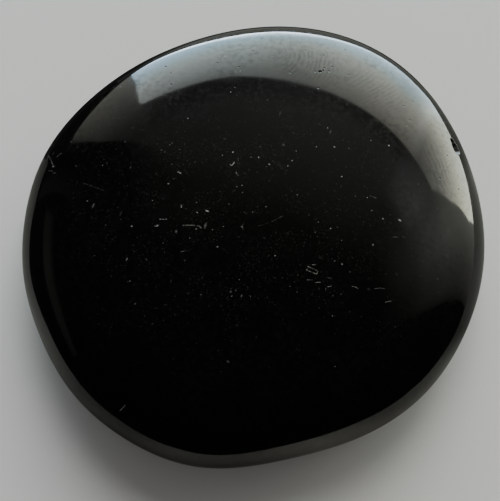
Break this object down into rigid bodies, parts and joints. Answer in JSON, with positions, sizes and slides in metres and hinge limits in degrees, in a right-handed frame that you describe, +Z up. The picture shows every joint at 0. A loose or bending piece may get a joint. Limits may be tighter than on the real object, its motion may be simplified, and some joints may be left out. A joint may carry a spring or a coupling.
{
  "type": "polished jet stone",
  "caption": "Nearly round polished jet pebble with a shallow domed crown, a soft rolled edge and a flatter underside that lies on a small flat spot.",
  "frame": {"origin": "middle of the stone's footprint box, on the surface that it lies on", "axes": "+Z up through the domed crown, +Y to the far side of the picture, +X to its right"},
  "size_m": [0.05, 0.0498, 0.015],
  "materials": {
    "polished_jet": "hand-polished to a mirror gloss, with fine dust specks, hairline scratches and faint handling smudges"
  },
  "bodies": {
    "root": {"jet_stone": "polished_jet"}
  },
  "joints": []
}
